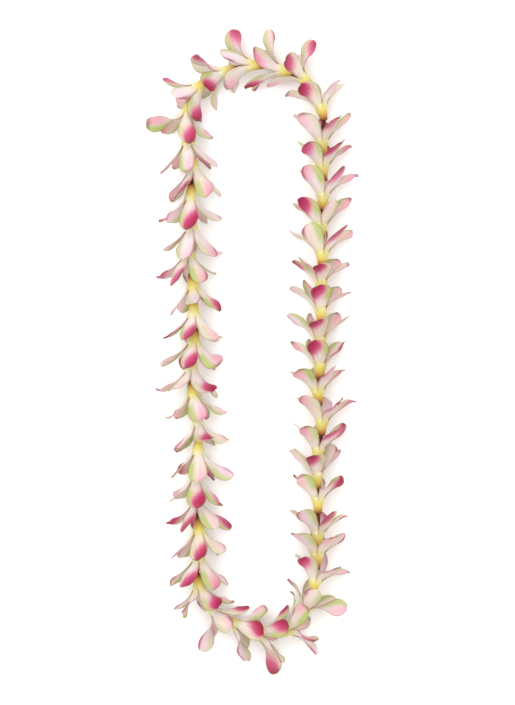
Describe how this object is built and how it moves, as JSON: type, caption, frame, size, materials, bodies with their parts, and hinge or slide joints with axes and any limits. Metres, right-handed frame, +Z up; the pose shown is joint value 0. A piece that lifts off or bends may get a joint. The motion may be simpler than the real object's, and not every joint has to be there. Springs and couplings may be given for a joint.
{
  "type": "fresh flower lei",
  "caption": "Plumeria lei: pink and white blooms with yellow throats, threaded nose to tail on a closed dark cord and laid flat, to be worn round the neck",
  "frame": {"origin": "on the surface that the lei lies on, at the middle of the lei's box", "axes": "+Y along the loop's long axis, +Z up from the surface, +X across the loop; the blooms open anticlockwise seen from above"},
  "size_m": [0.1677, 0.5168, 0.0415],
  "materials": {
    "petal": "satin petal, white to magenta, yellow at the throat",
    "cord": "matt twisted cord"
  },
  "bodies": {
    "root": {"bloom_01": "petal", "bloom_02": "petal", "bloom_03": "petal", "bloom_04": "petal", "bloom_05": "petal", "bloom_06": "petal", "bloom_07": "petal", "bloom_08": "petal", "bloom_09": "petal", "bloom_10": "petal", "bloom_11": "petal", "bloom_12": "petal", "bloom_13": "petal", "bloom_14": "petal", "bloom_15": "petal", "bloom_16": "petal", "bloom_17": "petal", "bloom_18": "petal", "bloom_19": "petal", "bloom_20": "petal", "bloom_21": "petal", "bloom_22": "petal", "bloom_23": "petal", "bloom_24": "petal", "bloom_25": "petal", "bloom_26": "petal", "bloom_27": "petal", "bloom_28": "petal", "bloom_29": "petal", "bloom_30": "petal", "bloom_31": "petal", "bloom_32": "petal", "bloom_33": "petal", "bloom_34": "petal", "bloom_35": "petal", "bloom_36": "petal", "bloom_37": "petal", "bloom_38": "petal", "bloom_39": "petal", "bloom_40": "petal", "bloom_41": "petal", "bloom_42": "petal", "bloom_43": "petal", "bloom_44": "petal", "bloom_45": "petal", "bloom_46": "petal", "string": "cord"}
  },
  "joints": []
}
